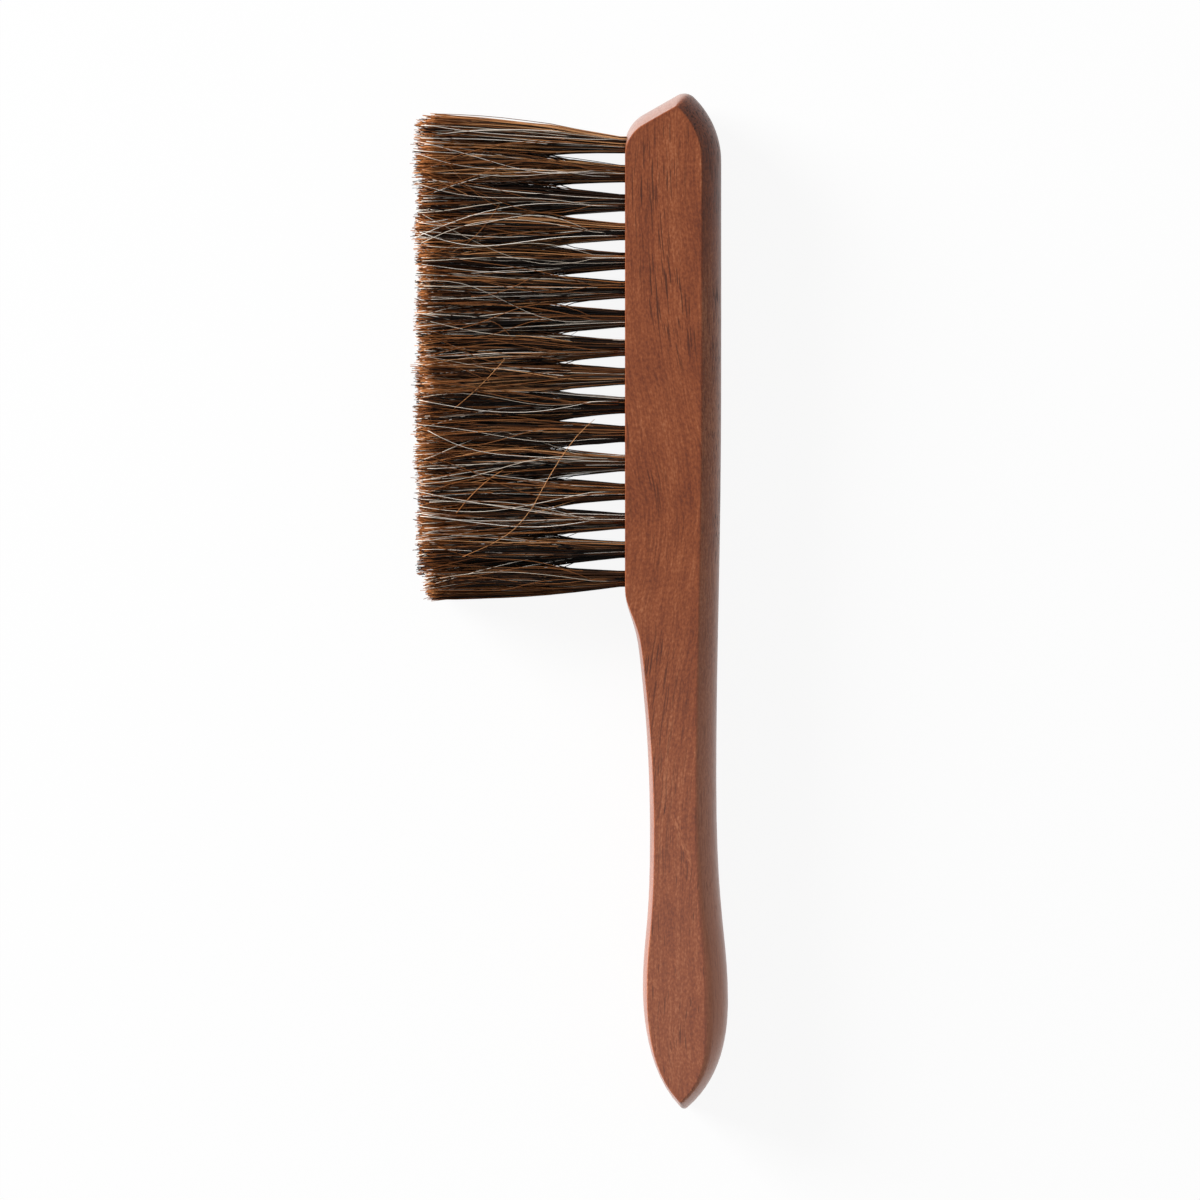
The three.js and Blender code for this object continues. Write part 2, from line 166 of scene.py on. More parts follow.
class Signal:
    """A value that varies over a surface. Arithmetic on signals adds Math nodes to their finish."""

    def __init__(self, finish, socket):
        self.finish = finish
        self.socket = socket

    def __add__(self, other):
        return self.finish.maths("ADD", self, other)

    def __radd__(self, other):
        return self.finish.maths("ADD", other, self)

    def __sub__(self, other):
        return self.finish.maths("SUBTRACT", self, other)

    def __rsub__(self, other):
        return self.finish.maths("SUBTRACT", other, self)

    def __mul__(self, other):
        return self.finish.maths("MULTIPLY", self, other)

    def __rmul__(self, other):
        return self.finish.maths("MULTIPLY", other, self)

    def __pow__(self, other):
        return self.finish.maths("POWER", self, other)

    def rise(self, low, high):
        """0 below low and 1 above high, with a smooth step between them."""
        settings = {"interpolation_type": "SMOOTHSTEP"}
        return self.finish.node("MapRange", settings, {0: self, 1: low, 2: high})


class Finish:
    """The nodes of a material, or of the world."""

    def __init__(self, owner):
        self.owner = owner
        owner.use_nodes = True
        self.tree = owner.node_tree
        self.tree.nodes.clear()

    def node(self, kind, settings=None, sockets=None, output=0):
        """Adds a node and returns one of its outputs. A ramp's stops are among its settings."""
        made = self.tree.nodes.new("ShaderNode" + kind)
        for name, value in (settings or {}).items():
            if name == "stops":
                while len(made.color_ramp.elements) < len(value):
                    made.color_ramp.elements.new(1)
                for stop, (position, shade) in zip(made.color_ramp.elements, value):
                    stop.position = position
                    stop.color = shade
            else:
                setattr(made, name, value)
        for name, value in (sockets or {}).items():
            if isinstance(value, Signal):
                self.tree.links.new(value.socket, made.inputs[name])
            else:
                made.inputs[name].default_value = value
        return Signal(self, made.outputs[output]) if made.outputs else None

    def maths(self, operation, *values):
        return self.node("Math", {"operation": operation}, dict(enumerate(values)))

    def parts(self, vector):
        """The three numbers of a vector."""
        separate = self.node("SeparateXYZ", None, {0: vector}).socket.node
        return (Signal(self, output) for output in separate.outputs)

    def noise(self, place, scale, detail=2.0, roughness=0.5):
        """Noise whose cells are stretched: scale is how many there are to a metre along each axis."""
        stretched = self.node("Mapping", None, {"Vector": place, "Scale": scale})
        sockets = {"Vector": stretched, "Scale": 1.0, "Detail": detail, "Roughness": roughness}
        return self.node("TexNoise", None, sockets)

    def ramp(self, position, stops):
        return self.node("ValToRGB", {"stops": stops}, {0: position})

    def blend(self, factor, first, second):
        return self.node("Mix", {"data_type": "RGBA"}, {0: factor, 6: first, 7: second}, output=2)

    def principled(self, **sockets):
        named = {name.replace("_", " "): value for name, value in sockets.items()}
        self.node("OutputMaterial", None, {"Surface": self.node("BsdfPrincipled", None, named)})


RING_SPACING = 2.9 * MM
GRAIN_LEAN = 0.45  # how far the grain moves sideways on its way through the thickness
GRAIN_WANDER = 30 * MM
GRAIN_SWING = 11 * MM
RING_WAVER = 6 * MM
# From darkest to palest, the tone at which each shade of the stain comes
STAIN = [
    (0.05, colour(84, 35, 16)),
    (0.35, colour(118, 57, 29)),
    (0.62, colour(141, 75, 42)),
    (0.95, colour(174, 108, 73)),
]
PORE_COLOUR = colour(56, 24, 14)
# the colour of the painted highlight on the back of the grip
BACK_HIGHLIGHT_COLOUR = colour(196, 122, 86)
WORN_COLOUR = colour(168, 112, 96)
# the colour of the painted highlight on the slanted end
SLANT_HIGHLIGHT_COLOUR = colour(158, 134, 126)

wood = Finish(bpy.data.materials.new("stained_hardwood"))
here = wood.node("TexCoord", output="Object")
across, along, depth = wood.parts(here)

# The grain runs along the handle. It wanders sideways over a long way, and swings more sharply in places.
wander = wood.noise(here, (9, 5.5, 9), detail=1.5) - 0.5
swing = wood.noise(here, (26, 15, 26), detail=2) - 0.5
grain_across = across + depth * GRAIN_LEAN + wander * GRAIN_WANDER + swing * GRAIN_SWING
grain = wood.node("CombineXYZ", None, {0: grain_across, 1: along, 2: depth})
ring_waver = (wood.noise(grain, (60, 8, 60)) - 0.5) * RING_WAVER
ring_phase = (grain_across + ring_waver) * (2 * math.pi / RING_SPACING)
late_wood = (wood.maths("SINE", ring_phase) * 0.5 + 0.5) ** 3

# Fine fibres and streaks drawn out along the grain, flecks, and blotches where the stain has sunk in
streaks = wood.noise(grain, (380, 12, 380), detail=4, roughness=0.6)
fibres = wood.noise(grain, (1900, 110, 1900), detail=3, roughness=0.75)
fleck = wood.noise(grain, (1800, 950, 1800), detail=1.5, roughness=0.6)
blotches = wood.noise(here, (120, 50, 120), detail=1.5)

# How far a place is into the grip, and how far it is round to the palm's side at the back, from 0 to 1
grip_share = 1 - along.rise(-100 * MM, 30 * MM)
facing = wood.node("TexCoord", output="Normal")
facing_back, _, _ = wood.parts(facing)
palm_side = facing_back.rise(0.1, 0.5)

# Pores are short dark lines along the grain, in patches on the head and with open mouths on the grip.
pore_noise = wood.noise(grain, (2600, 115, 2600), detail=0.5)
pore_patches = wood.noise(here, (70, 26, 70), detail=2).rise(0.42, 0.58)
pore_share = 0.15 + pore_patches * (0.85 - 0.5 * grip_share) + palm_side * 0.3
pore_mouths = wood.noise(grain, (2100, 150, 2100), detail=0) + palm_side * 0.05
open_pores = pore_mouths.rise(0.72, 0.78) * grip_share
pores = pore_noise.rise(0.58, 0.66) * pore_share + open_pores * 0.9

# A slanting band of short pale fibres, where the grain comes up to the surface at the waist of the grip
FIGURE_ACROSS, FIGURE_ALONG = 33.4 * MM, -71.5 * MM
FIGURE_HALF_WIDTH, FIGURE_HALF_LENGTH = 1.7 * MM, 13.5 * MM
FIGURE_LEAN = 0.26
from_figure = along - FIGURE_ALONG
slant = across - FIGURE_ACROSS + from_figure * FIGURE_LEAN
in_width = (1 - (slant * (1 / FIGURE_HALF_WIDTH)) ** 2).rise(0, 1)
in_length = (1 - (from_figure * (1 / FIGURE_HALF_LENGTH)) ** 2).rise(0, 1)
figure_place = wood.node("CombineXYZ", None, {0: slant, 1: along, 2: depth})
figure = wood.noise(figure_place, (1900, 420, 1900), detail=1.5, roughness=0.6)

# The stain's tone: the rings of late wood are darker, and the grip is paler than the broad side of the head.
# The back, by the way it faces, is painted lighter along the grip and painted darker at the head's end, as
# painted light and shade.
varied = (streaks - 0.5) * 0.42 + (fibres - 0.5) * 0.8 + (blotches - 0.5) * 0.5
varied = varied + (fleck - 0.5) * (0.85 + 0.35 * grip_share)
ring_tone = late_wood * (0.06 + 0.05 * grip_share)
figure_tone = in_width * in_length * (figure - 0.42) * 1.7
# painted light and shade on the back: lighter along the grip, darker at the head's end
painted_back_shading = palm_side * (0.23 - along.rise(85 * MM, 125 * MM) * 0.41)
head_tone = along.rise(30 * MM, 130 * MM) * 0.02
tone = varied + 0.50 - ring_tone + grip_share * 0.10 + figure_tone + painted_back_shading + head_tone

# The palm's side of the grip is painted pale, a painted highlight, and the whole grip is a little worn.
back_highlight_share = palm_side * (1 - along.rise(-130 * MM, 80 * MM)) * 0.6
worn_share = grip_share * 0.24
pored = wood.blend(pores * 0.8, wood.ramp(tone, STAIN), PORE_COLOUR)
highlighted = wood.blend(back_highlight_share, pored, BACK_HIGHLIGHT_COLOUR)
worn = wood.blend(worn_share, highlighted, WORN_COLOUR)

# The slanted end of the head is painted paler, flecked like the grain: a painted highlight where the light
# catches it.
SLANT_FACING = (-0.495, 0.869, 0)
on_slant = wood.node("VectorMath", {"operation": "DOT_PRODUCT"}, {0: facing, 1: SLANT_FACING}, output=1)
slant_highlight_share = on_slant.rise(0.6, 0.9) * along.rise(120 * MM, 135 * MM) * (0.62 + (fleck - 0.5) * 0.9)

# Pores are dents and fibres stand a little proud.
PORE_DEPTH = 0.06 * MM
wood_height = fibres * 0.4 - pores
wood.principled(
    Base_Color=wood.blend(slant_highlight_share, worn, SLANT_HIGHLIGHT_COLOUR),
    Roughness=0.36 + (fibres - 0.5) * 0.16 + pores * 0.2,
    Normal=wood.node("Bump", None, {"Strength": 0.35, "Distance": PORE_DEPTH, "Height": wood_height}),
    Specular_IOR_Level=0.25,
    Coat_Weight=0.5 - 0.38 * palm_side * along.rise(-60 * MM, 60 * MM),
    Coat_Roughness=0.3,
    Coat_IOR=1.3,
    Sheen_Weight=0.06,
    Sheen_Roughness=0.35,
)
handle.data.materials.clear()
handle.data.materials.append(wood.owner)

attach(handle, "root")
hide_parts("handle")

# ---------------------------------------------------------------- anchors
# A short piece of flat steel wire lies across each hole, a little above its bottom. The machine that sets
# the tufts cuts it off a coil and drives it in with the hair, so that its sharp ends bite into the wood.

STEEL_COLOUR = colour(196, 194, 188)
TARNISH_COLOUR = colour(138, 128, 112)

wire = Finish(bpy.data.materials.new("anchor_wire"))
wire_place = wire.node("TexCoord", output="Object")
drawn_lines = wire.noise(wire_place, (4000, 300, 4000), detail=3)
tarnish = wire.noise(wire_place, (700, 700, 700), detail=3).rise(0.45, 0.7)
wire.principled(
    Base_Color=wire.blend(tarnish * 0.5, STEEL_COLOUR, TARNISH_COLOUR),
    Roughness=0.28 + drawn_lines * 0.2 + tarnish * 0.15,
    Metallic=1.0,
)
anchor_names = sorted(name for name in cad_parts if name.startswith("anchor_"))
for name in anchor_names:
    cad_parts[name].material_slots[0].material = wire.owner

# ---------------------------------------------------------------- hair
# Each tuft is a bundle of mixed horsehair, doubled over its anchor and driven to the bottom of its hole. It
# leaves the wood as a tight round bundle, fans out until it meets the next tufts, and is trimmed level. Most
# hairs are dark or mid brown with paler, orange-brown ends, and about one in twelve is grey or cream.

ROWS = ("lower", "middle", "upper")
HAIRS_PER_TUFT = 190
HAIR_RADIUS = 0.155 * MM
HAIR_OUT = np.array([-7, 1.5, 8, 15, 22, 29, 36, 43, 50, 56]) * MM  # places along a hair, out from the face
TIP_THICKNESS = 0.75  # as a share of the root's
PALE_THICKNESS = 0.85  # a grey or cream hair's, as a share of a brown one's
TIP_ROOM = 1.2 * MM  # left out past most of the tips for the longest hairs
SHADES = 64  # columns of the hair's own map, one for each shade
PALE_SHARE = 0.08
PALE_FROM = 0.93  # the shade from which a hair is grey or cream
HORSEHAIR = [
    (0.00, colour(11, 9, 9)),
    (0.28, colour(24, 18, 15)),
    (0.44, colour(64, 42, 29)),
    (0.62, colour(118, 74, 44)),
    (0.80, colour(163, 106, 63)),
    (0.925, colour(198, 145, 99)),
    (0.926, colour(190, 173, 152)),
    (1.00, colour(250, 243, 234)),
]
BLEACHED_COLOUR = colour(146, 80, 31)
MOTTLE_COLOUR = colour(36, 25, 20)

face_x = HANDLE_LOW.x
tip_x = min(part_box(f"bristle_row_{row}")[0].x for row in ROWS)
hair_length = face_x - tip_x - TIP_ROOM
thickness_middle = (HANDLE_LOW.z + HANDLE_HIGH.z) / 2
draw = np.random.default_rng(20)

# The hair's own map gives the shade across it, and the way from root to tip up it.
horsehair = Finish(bpy.data.materials.new("horsehair"))
hair_map = horsehair.node("UVMap", {"uv_map": "OFBake"})
shade, root_to_tip, _ = horsehair.parts(hair_map)
mottle_place = horsehair.node("Mapping", None, {"Vector": hair_map, "Scale": (SHADES, 9, 1)})
mottle = horsehair.node("TexNoise", None, {"Vector": mottle_place, "Scale": 1.0, "Detail": 2.0})
brown_hair = shade.rise(0.12, 0.42) * (1 - shade.rise(0.92, 0.93))
bleached = root_to_tip.rise(0.6, 1.0) * 0.45 * brown_hair
tipped = horsehair.blend(bleached, horsehair.ramp(shade, HORSEHAIR), BLEACHED_COLOUR)
mottled = horsehair.blend((mottle - 0.35) * 0.6, tipped, MOTTLE_COLOUR)
horsehair.principled(Base_Color=mottled, Roughness=0.42, Specular_IOR_Level=0.12)

strand_profile = bpy.data.curves.new("strand_profile", "CURVE")
profile_spline = strand_profile.splines.new("POLY")
profile_spline.points.add(2)
for turn, point in enumerate(profile_spline.points):
    angle = turn * 2 * math.pi / 3
    point.co = (math.cos(angle), math.sin(angle), 0, 1)
profile_spline.use_cyclic_u = True
profile = bpy.data.objects.new("strand_profile", strand_profile)
bpy.context.scene.collection.objects.link(profile)


def hair_piece(name, paths, radii, shades):
    """Draws hairs as curves with a three-sided section, and makes them one mesh with its shade map."""
    curve = bpy.data.curves.new(name, "CURVE")
    curve.dimensions = "3D"
    curve.bevel_mode = "OBJECT"
    curve.bevel_object = profile
    curve.use_fill_caps = True
    hairs, steps = paths.shape[:2]
    placed = np.concatenate([paths, np.ones((hairs, steps, 1))], axis=2)
    for path, radius in zip(placed, radii):
        spline = curve.splines.new("POLY")
        spline.points.add(steps - 1)
        spline.points.foreach_set("co", path.ravel())
        spline.points.foreach_set("radius", radius)
    piece = bpy.data.objects.new(name, curve)
    bpy.context.scene.collection.objects.link(piece)
    pick_up(piece)
    bpy.ops.object.convert(target="MESH")
    piece = bpy.context.object
    mesh = piece.data
    for layer in list(mesh.uv_layers):
        mesh.uv_layers.remove(layer)

    # The corners of the closed ends come first, three at the tip and three at the root of each hair in
    # turn. The rings of corners along each hair follow, from root to tip.
    corner = np.empty(len(mesh.loops), int)
    mesh.loops.foreach_get("vertex_index", corner)
    ends = hairs * 6
    at_end = corner < ends
    along_hair = (corner - ends) % (steps * 3) // 3
    hair = np.where(at_end, corner // 6, (corner - ends) // (steps * 3))
    ring = np.where(at_end, (corner % 6 < 3) * (steps - 1), along_hair)

    # The three corners of a ring lie apart within their shade's column, so every face has some of the map.
    side = corner % 3
    across_map = (np.floor(shades[hair] * SHADES) + 0.15 + 0.35 * side) / SHADES
    up_map = 0.01 + 0.97 * ring / (steps - 1) + 0.005 * (side == 1)
    own_map = mesh.uv_layers.new(name="OFBake")
    own_map.data.foreach_set("uv", np.stack([across_map, up_map], 1).ravel())

    bpy.ops.object.mode_set(mode="EDIT")
    bpy.ops.mesh.select_all(action="SELECT")
    bpy.ops.mesh.remove_doubles(threshold=0.0001 * MM)
    bpy.ops.mesh.normals_make_consistent(inside=False)
    bpy.ops.object.mode_set(mode="OBJECT")
    mesh.materials.clear()
    mesh.materials.append(horsehair.owner)
    bpy.ops.object.shade_smooth()
    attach(piece, "root")
    return piece


# Up from the middle plane: where hairs start to be pressed back, and the farthest that they reach
FREE_HALF, PRESSED_HALF = 9.6 * MM, 11.7 * MM


def within_thickness(z):
    """Presses hairs that would stand out past the handle's flat sides back in between them."""
    aside = z - thickness_middle
    past = np.maximum(np.abs(aside) - FREE_HALF, 0)
    give = PRESSED_HALF - FREE_HALF
    pressed = FREE_HALF + give * (1 - np.exp(-past / give))
    return thickness_middle + np.where(past > 0, np.sign(aside) * pressed, aside)


# Pairs are along the field and through its thickness. The hairs drift and bow away from their places
# where the tufts meet, one by one and with the other hairs of their lock. Strays go farther.
HOLE_RADIUS = 2.5 * MM
HOLE_GAP = 0.25 * MM
MET_OUT = 21.5 * MM  # how far out from the face the tufts meet
MET_HALF, MET_SPREAD = (4.5 * MM, 3.6 * MM), 0.22 * MM
DRIFT_OUT = 12 * MM  # where drifting starts
LOCKS = 12  # wisps in a tuft, whose hairs cling together
LOCK_PULL = 0.75  # the most that a hair is drawn to the middle of its lock, as a share of the way
LOCK_HALF, LOCK_DRIFT, LOCK_BOW = (4.6 * MM, 3.7 * MM), (1.2 * MM, 0.9 * MM), (0.8 * MM, 0.3 * MM)
HAIR_DRIFT, HAIR_BOW = (1.15 * MM, 0.9 * MM), (0.7 * MM, 0.35 * MM)
STRAY_DRIFT, STRAY_BOW = (4.2 * MM, 1.0 * MM), (1.6 * MM, 0.6 * MM)
STRAY_SHARE, PALE_STRAY_SHARE = 0.13, 0.5
END_DRIFT, END_BOW = 0.9 * MM, 0.5 * MM  # the most that hairs leave the field by at its two ends
TRIM = 1.1 * MM  # off hair_length
LENGTH_SPREAD = 0.45 * MM
SHORTER = 1.35 * MM  # how much shorter than the trimmed length a hair is, as a mean
SHOULDER_SHORTER, HEAD_SHORTER = 3.2 * MM, 2.2 * MM  # for the whole tuft, and past HEAD_CORNER only
HEAD_CORNER = 1.5 * MM
WAVE_LENGTHS = (34 * MM, 90 * MM)


def tuft_hairs(centre, lean, tuft_length, ends, pale):
    """Paths of one tuft's hairs, as (hair, step, xyz), and the lock that each hair lies in. Ends says
    whether nothing holds the tuft on its side towards the grip, and towards the head."""
    count = len(pale)
    angle = draw.uniform(0, 2 * math.pi, count)
    radius = (HOLE_RADIUS - HOLE_GAP) * np.sqrt(draw.uniform(0, 1, count))
    root = np.stack([radius * np.cos(angle), radius * np.sin(angle)], 1)

    met = root / HOLE_RADIUS * MET_HALF + draw.normal(0, MET_SPREAD, (count, 2))
    locks = draw.uniform(-1, 1, (LOCKS, 2)) * LOCK_HALF
    lock_drift = draw.normal(0, 1, (LOCKS, 2)) * LOCK_DRIFT
    lock_bow = draw.normal(0, 1, (LOCKS, 2)) * LOCK_BOW
    nearest = ((met[:, None] - locks[None]) ** 2).sum(2).argmin(1)
    drift = (locks[nearest] - met) * draw.uniform(0, LOCK_PULL, (count, 1)) + lock_drift[nearest]
    drift += draw.normal(0, 1, (count, 2)) * HAIR_DRIFT
    bow = lock_bow[nearest] + draw.normal(0, 1, (count, 2)) * HAIR_BOW
    stray = draw.uniform(0, 1, count) < np.where(pale, PALE_STRAY_SHARE, STRAY_SHARE)
    drift[stray] += draw.normal(0, 1, (stray.sum(), 2)) * STRAY_DRIFT
    bow[stray] += draw.normal(0, 1, (stray.sum(), 2)) * STRAY_BOW
    if ends[0]:
        drift[:, 0] = np.maximum(drift[:, 0], -END_DRIFT)
        bow[:, 0] = np.maximum(bow[:, 0], -END_BOW)
    if ends[1]:
        drift[:, 0] = np.minimum(drift[:, 0], END_DRIFT) + 0.5 * np.minimum(met[:, 0], 0)
        bow[:, 0] = np.minimum(bow[:, 0], END_BOW)
    length = hair_length + tuft_length - TRIM + draw.normal(0, LENGTH_SPREAD, count)
    length += draw.normal(0, LENGTH_SPREAD, LOCKS)[nearest] - draw.exponential(SHORTER, count)
    length -= SHOULDER_SHORTER * ends[0] + HEAD_SHORTER * ends[1] * (met[:, 0] > HEAD_CORNER)

    out = np.concatenate([np.tile(HAIR_OUT, (count, 1)), length[:, None]], 1)
    fanned = np.clip(out / MET_OUT, 0, 1)[..., None]
    way = np.clip((out - DRIFT_OUT) / (hair_length - DRIFT_OUT), 0, 1)[..., None]
    side = root[:, None] * (1 - fanned) + met[:, None] * fanned
    side += drift[:, None] * way**1.3 + bow[:, None] * np.sin(np.minimum(way, 1) * math.pi) ** 1.5
    side += lean * (np.maximum(out, 0) / hair_length)[..., None] ** 0.9

    # Each hair waves a little, more towards its tip, with its own length of wave.
    wave_length = draw.uniform(*WAVE_LENGTHS, (count, 1))
    phase = draw.uniform(0, 2 * math.pi, (count, 1, 2))
    wave = np.sin(2 * math.pi * (out / wave_length)[..., None] + phase)
    sway = draw.gamma(2.0, 0.17, (count, 1, 1)) * MM * way
    side += wave * sway * (1, 0.6)
    paths = np.empty((*out.shape, 3))
    paths[..., 0] = face_x - out
    paths[..., 1] = centre[0] + side[..., 0]
    paths[..., 2] = within_thickness(centre[1] + side[..., 1])
    return paths, nearest


def hair_shades(count, pale_share):
    shades = draw.beta(1.0, 1.2, count) * (PALE_FROM - 0.02)
    pale = draw.uniform(0, 1, count) < pale_share
    shades[pale] = draw.uniform(PALE_FROM + 0.005, 0.99, pale.sum())
    return shades


# The last tufts at each end of a row lean outwards, and their hair is a little paler.
SHOULDER_LEAN, HEAD_LEAN = -2.0 * MM, 5.0 * MM
ROW_LEAN = {"lower": -1.6 * MM, "middle": 0, "upper": 1.6 * MM}
LEANING_TUFTS = 4  # at each end
SHOULDER_PALER, HEAD_PALER = 0.07, 0.13
TUFT_LENGTHS = (-0.9 * MM, 0.7 * MM)  # the least and the most that a tuft is longer than the rest
LOCK_SHADES = (-0.3, 0.28)  # the least and the most that a lock is paler than the rest
HAIR_THICKNESSES = (0.7, 1.25)  # as shares of HAIR_RADIUS

tuft_centres = {row: [] for row in ROWS}
for name in anchor_names:
    low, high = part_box(name)
    tuft_centres[name.split("_")[1]].append(((low.y + high.y) / 2, (low.z + high.z) / 2))

for row, centres in tuft_centres.items():
    row_paths, row_shades = [], []
    last = len(centres) - 1
    for tuft, centre in enumerate(centres):
        near_head = max(0, 1 - (last - tuft) / LEANING_TUFTS)
        near_shoulder = max(0, 1 - tuft / LEANING_TUFTS)
        lean = np.array([HEAD_LEAN * near_head**2 + SHOULDER_LEAN * near_shoulder**2, ROW_LEAN[row]])
        tuft_length = draw.uniform(*TUFT_LENGTHS)
        ends = (tuft == 0, tuft == last)
        shades = hair_shades(HAIRS_PER_TUFT, PALE_SHARE)
        brown = shades < PALE_FROM
        paths, locks = tuft_hairs(centre, lean, tuft_length, ends, ~brown)
        paler = draw.uniform(*LOCK_SHADES, LOCKS)[locks] + SHOULDER_PALER * ends[0] + HEAD_PALER * ends[1]
        shades[brown] = np.clip(shades[brown] + paler[brown], 0, PALE_FROM - 0.015)
        row_paths.append(paths)
        row_shades.append(shades)
    paths = np.concatenate(row_paths)
    shades = np.concatenate(row_shades)
    paths[..., 0] = np.maximum(paths[..., 0], tip_x + 0.1 * MM)
    thickness = HAIR_RADIUS * draw.uniform(*HAIR_THICKNESSES, (len(paths), 1))
    thickness[shades > PALE_FROM] *= PALE_THICKNESS
    taper = np.interp(np.arange(paths.shape[1]), (0, paths.shape[1] - 1), (1, TIP_THICKNESS))
    piece = hair_piece(f"hair_{row}", paths, thickness * taper, shades)
    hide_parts(f"bristle_row_{row}")

# ---------------------------------------------------------------- loose hairs
# Some hairs have worked out of their tufts and lie across the others, on both broad sides of the field.
# They are the same horsehair. One long red-brown hair has slipped across five tufts.

LOOSE_HAIRS = 60  # on each side
LOOSE_STEPS = 16
LOOSE_DRIFT, LOOSE_BOW, LOOSE_TURN = 6.5 * MM, 2.6 * MM, 1.0 * MM
LOOSE_FROM = 2 * MM  # where they begin, out from the face
LOOSE_DRIFT_OUT = 9 * MM  # where they start to drift
LOOSE_PAST_SHOULDER, LOOSE_PAST_HEAD = 3.5 * MM, 5.5 * MM  # the most that they reach past the last tufts
LOOSE_PALE_SHARE = 0.36
LOOSE_THICKNESSES = (0.45, 0.75)  # as shares of HAIR_RADIUS
BROKEN_HAIRS = 9  # short brown lengths on each side that lie askew near the tips
PALEST_BROWN = 0.86
DARKEST_LOOSE = 0.68
SLIPPED_SHADE = 0.88
# Out from the face, and the tuft, counted from the shoulder, over which the slipped hair lies there
SLIPPED_OUT = (9, 11, 14, 18, 23, 28, 33.5, 40, 48)
SLIPPED_TUFT = (5.5, 5.3, 4.95, 4.35, 3.4, 2.3, 1.6, 1.15, 0.75)

shoulder_y, head_y = tuft_centres["upper"][0][0], tuft_centres["upper"][-1][0]
tuft_gaps = len(tuft_centres["upper"]) - 1
tuft_pitch = (head_y - shoulder_y) / tuft_gaps
# Out from the face, and up from the middle plane: the surface of the field near the roots, where the tufts
# have fanned out, and at the tips
upper_row = tuft_centres["upper"][0][1] - thickness_middle
field_out = (LOOSE_FROM, 18 * MM, hair_length)
field_top = (upper_row + 2.1 * MM, 10.9 * MM, 11.45 * MM)


def on_the_field(out, y, side):
    """Lays a hair on the surface of the field: side is 1 for the upper side and -1 for the lower one."""
    lifted = np.interp(out, field_out, field_top) + draw.uniform(-0.25, 0.15, (len(out), 1)) * MM
    return np.stack([face_x - out, y, thickness_middle + side * lifted], 2)


loose_paths = []
for side in (1, -1):
    tips = hair_length - 1.2 * MM - draw.exponential(1.5 * MM, LOOSE_HAIRS)
    out = np.linspace(LOOSE_FROM, tips, LOOSE_STEPS).T
    way = np.clip((out - LOOSE_DRIFT_OUT) / (hair_length - LOOSE_DRIFT_OUT), 0, 1)
    tuft = np.round((draw.uniform(shoulder_y, head_y, (LOOSE_HAIRS, 1)) - shoulder_y) / tuft_pitch)
    root_y = shoulder_y + tuft * tuft_pitch + draw.uniform(-1.5, 1.5, (LOOSE_HAIRS, 1)) * MM
    drift = draw.normal(0, LOOSE_DRIFT, (LOOSE_HAIRS, 1))
    bow = draw.normal(0, LOOSE_BOW, (LOOSE_HAIRS, 1))
    turn = draw.normal(0, LOOSE_TURN, (LOOSE_HAIRS, 1))
    y = root_y + drift * way**1.4 + bow * np.sin(math.pi * way) + turn * np.sin(2 * math.pi * way)
    y = np.clip(y, shoulder_y - LOOSE_PAST_SHOULDER, head_y + LOOSE_PAST_HEAD)
    loose_paths.append(on_the_field(out, y, side))

    middle = hair_length * draw.uniform(0.55, 0.88, (BROKEN_HAIRS, 1))
    reach = draw.uniform(5, 11, (BROKEN_HAIRS, 1)) * MM
    slope = draw.uniform(0.3, 1.1, (BROKEN_HAIRS, 1)) * draw.choice((-1, 1), (BROKEN_HAIRS, 1))
    along_hair = np.linspace(-1, 1, LOOSE_STEPS)
    out = np.minimum(middle + reach * along_hair, hair_length - 0.5 * MM)
    curl = draw.normal(0, 1.6 * MM, (BROKEN_HAIRS, 1)) * (1 - along_hair**2)
    y = draw.uniform(shoulder_y + 8 * MM, head_y - 4 * MM, (BROKEN_HAIRS, 1))
    loose_paths.append(on_the_field(out, y + slope * reach * along_hair + curl, side))

out = np.linspace(SLIPPED_OUT[0] * MM, SLIPPED_OUT[-1] * MM, LOOSE_STEPS)[None]
slipped_y = shoulder_y + np.interp(out / MM, SLIPPED_OUT, SLIPPED_TUFT) * tuft_pitch
loose_paths.append(on_the_field(out, slipped_y, 1))
loose_paths = np.concatenate(loose_paths)

loose_shades = np.maximum(hair_shades(len(loose_paths), LOOSE_PALE_SHARE), DARKEST_LOOSE)
broken = np.tile(np.arange(LOOSE_HAIRS + BROKEN_HAIRS) >= LOOSE_HAIRS, 2)
loose_shades[:-1][broken] = np.minimum(loose_shades[:-1][broken], PALEST_BROWN)
loose_shades[-1] = SLIPPED_SHADE
loose_radii = HAIR_RADIUS * draw.uniform(*LOOSE_THICKNESSES, (len(loose_paths), 1)) * np.ones(LOOSE_STEPS)
hair_piece("loose_hairs", loose_paths, loose_radii, loose_shades)

bpy.data.objects.remove(profile)

# ---------------------------------------------------------------- table, lamp and camera
# The brush lies on a plain white table in a white room. One large soft lamp stands beyond the hair,
# towards the head, and the camera looks straight down through a long lens.

TABLE_SIZE = 12
TABLE_PAINT = (0.9, 0.9, 0.9, 1)
TABLE_GLOW = 0.92  # how far the table looks white by itself, so that only a faint shadow shows on it
ROOM_WHITE = (1, 1, 1, 1)
ROOM_LIGHT = 0.27
LAMP_PLACE = (-3.3, 1.8, 1.25)
LAMP_SIZE = 2.0
LAMP_POWER = 368
LENS, SENSOR = 400, 36  # the camera's focal length and the width of its sensor, in millimetres
VIEW_WIDTH = 355.3 * MM
VIEW_CENTRE = (9.2 * MM, 0.3 * MM)


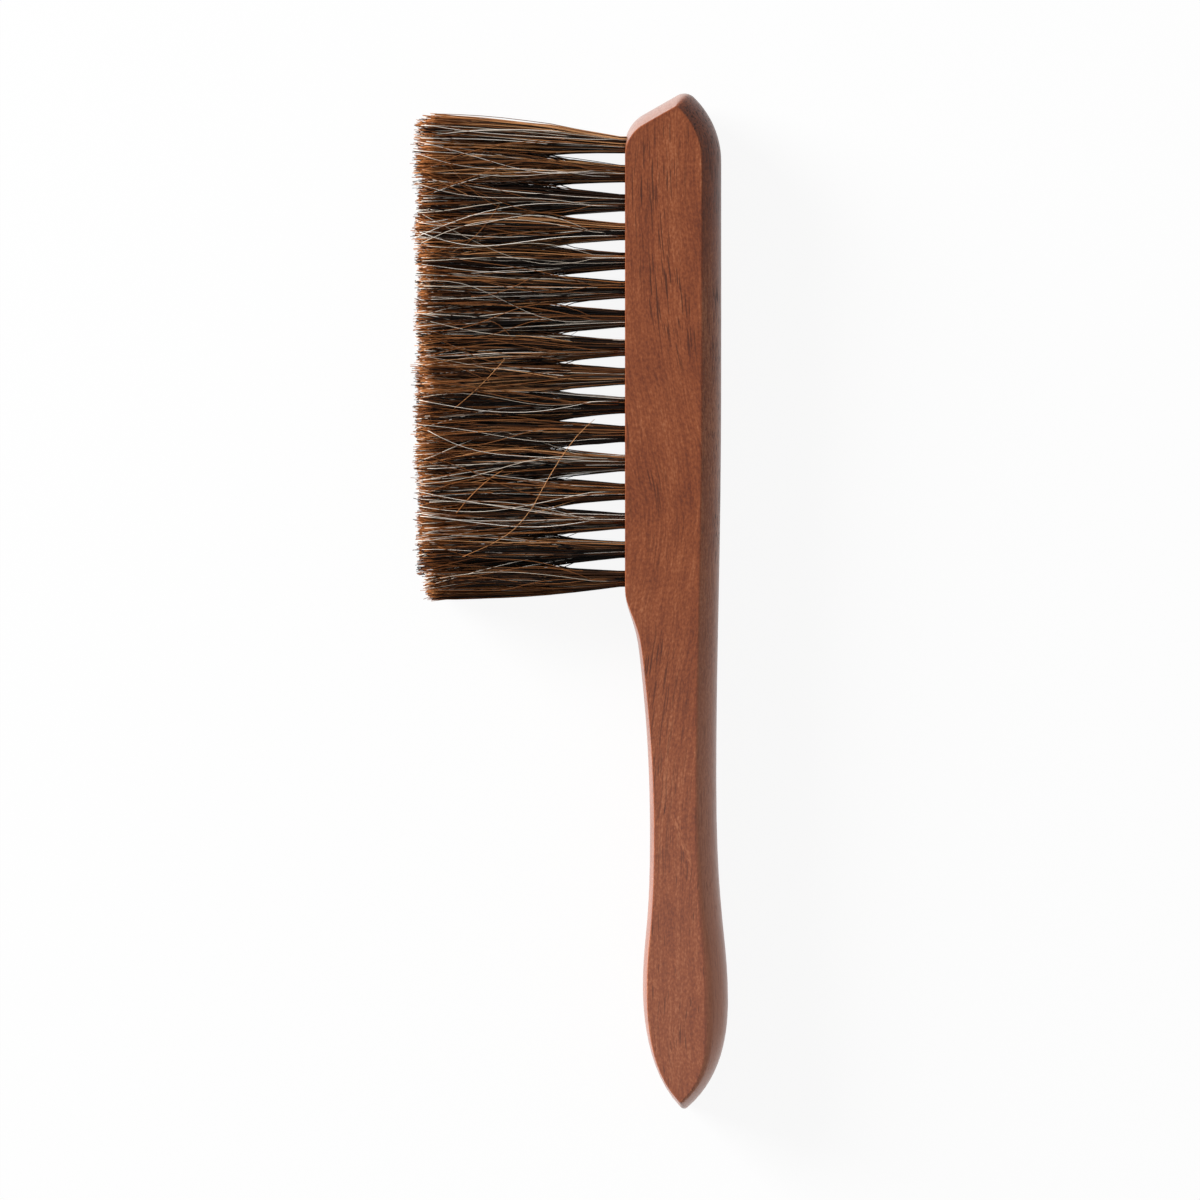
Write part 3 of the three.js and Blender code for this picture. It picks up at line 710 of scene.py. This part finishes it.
def seen_in_view(finish):
    """1 where the camera, gloss or glass looks at the background, and 0 where light falls on it."""
    kinds = ("Is Camera Ray", "Is Glossy Ray", "Is Transmission Ray")
    view, gloss, glass = (finish.node("LightPath", output=kind) for kind in kinds)
    return finish.maths("MAXIMUM", finish.maths("MAXIMUM", view, gloss), glass)


paint = Finish(bpy.data.materials.new("white_table"))
matt = paint.node("BsdfDiffuse", None, {"Color": TABLE_PAINT})
glow = paint.node("Emission", None, {"Strength": 1.0})
painted = paint.node("MixShader", None, {0: seen_in_view(paint) * TABLE_GLOW, 1: matt, 2: glow})
paint.node("OutputMaterial", None, {"Surface": painted})

bpy.ops.object.select_all(action="DESELECT")
bpy.ops.mesh.primitive_plane_add(size=TABLE_SIZE, location=(0, 0, cad_bounds[0].z - 0.02 * MM))
table = bpy.context.object
table.name = "table"
table.data.materials.append(paint.owner)

bpy.context.scene.world = bpy.data.worlds.new("studio")
studio = Finish(bpy.context.scene.world)
fill_light = studio.node("Background", None, {"Color": ROOM_WHITE, "Strength": ROOM_LIGHT})
backdrop = studio.node("Background", None, {"Color": ROOM_WHITE, "Strength": 1.0})
room = studio.node("MixShader", None, {0: seen_in_view(studio), 1: fill_light, 2: backdrop})
studio.node("OutputWorld", None, {"Surface": room})

lamp_data = bpy.data.lights.new("key_lamp", "AREA")
lamp_data.size = LAMP_SIZE
lamp_data.energy = LAMP_POWER
lamp = bpy.data.objects.new("key_lamp", lamp_data)
bpy.context.scene.collection.objects.link(lamp)
lamp.location = LAMP_PLACE
lamp.rotation_euler = (-Vector(LAMP_PLACE)).to_track_quat("-Z", "Y").to_euler()
lamp.visible_glossy = False  # as through a polarising filter, so that the lacquer has no white glare

camera_data = bpy.data.cameras.new("camera")
camera_data.lens = LENS
camera_data.sensor_width = SENSOR
camera_data.clip_end = 20
camera = bpy.data.objects.new("camera", camera_data)
bpy.context.scene.collection.objects.link(camera)
camera.location = (*VIEW_CENTRE, thickness_middle + VIEW_WIDTH * LENS / SENSOR)
bpy.context.scene.camera = camera
bpy.context.scene.view_settings.view_transform = "Standard"
